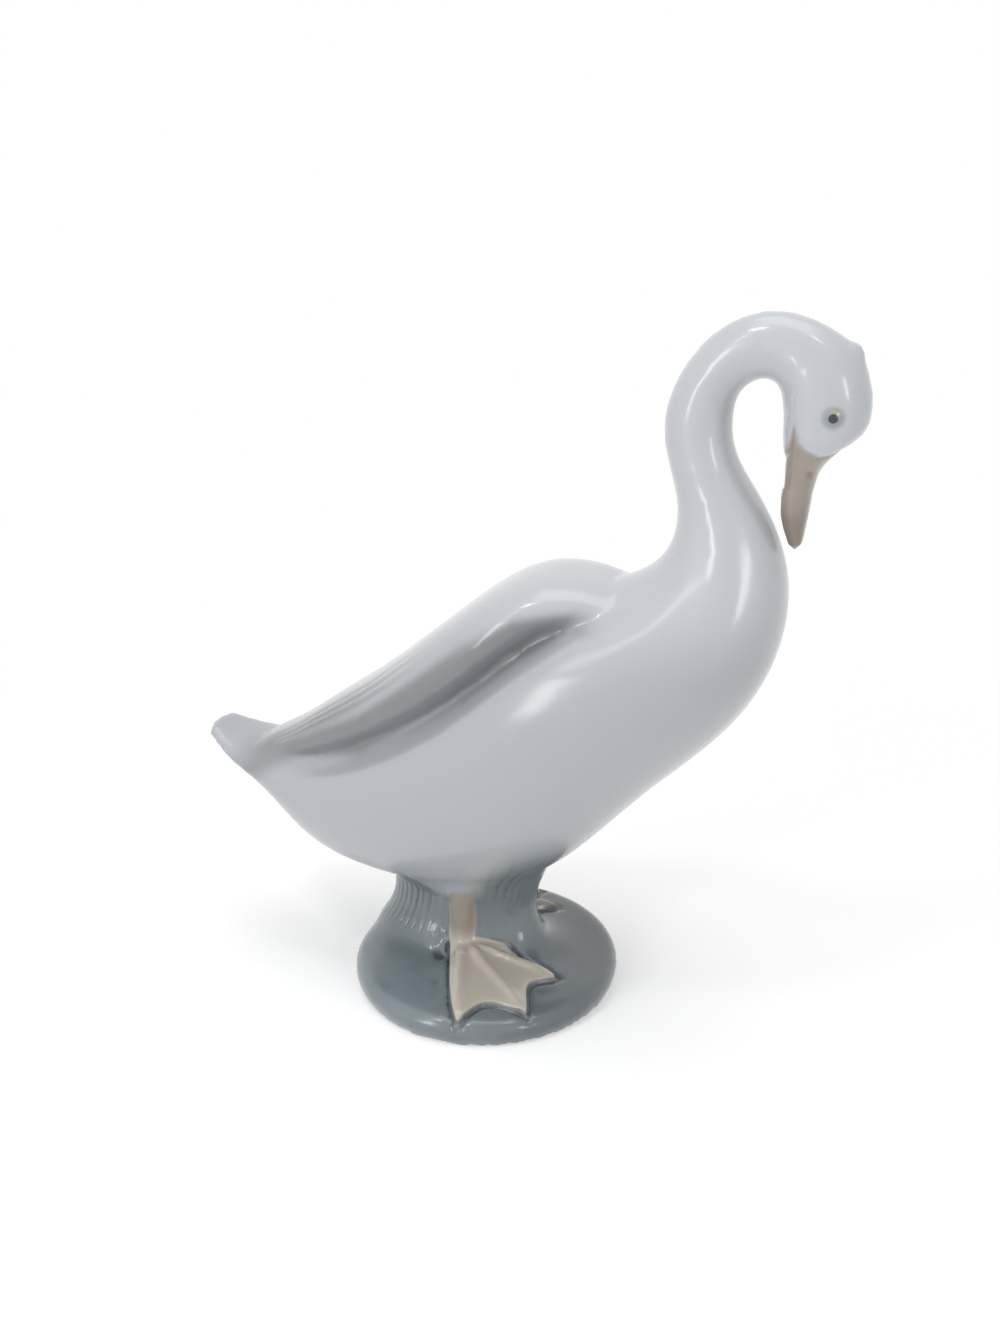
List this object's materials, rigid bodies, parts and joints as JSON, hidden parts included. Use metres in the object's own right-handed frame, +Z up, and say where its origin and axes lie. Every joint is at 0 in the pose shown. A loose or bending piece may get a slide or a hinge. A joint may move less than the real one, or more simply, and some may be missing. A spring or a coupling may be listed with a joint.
{
  "type": "goose figurine",
  "caption": "Glazed porcelain goose figurine standing on a round base, its neck hooked over so that the beak rests by the chest.",
  "frame": {"origin": "centre of the round base's flat underside", "axes": "+X towards the side the bird faces, +Y towards its left, +Z up"},
  "size_m": [0.1697, 0.073, 0.1784],
  "materials": {
    "glazed_porcelain": "clear gloss glaze over pale blue-grey underglaze colours"
  },
  "bodies": {
    "root": {"goose_figurine": "glazed_porcelain"}
  },
  "joints": []
}
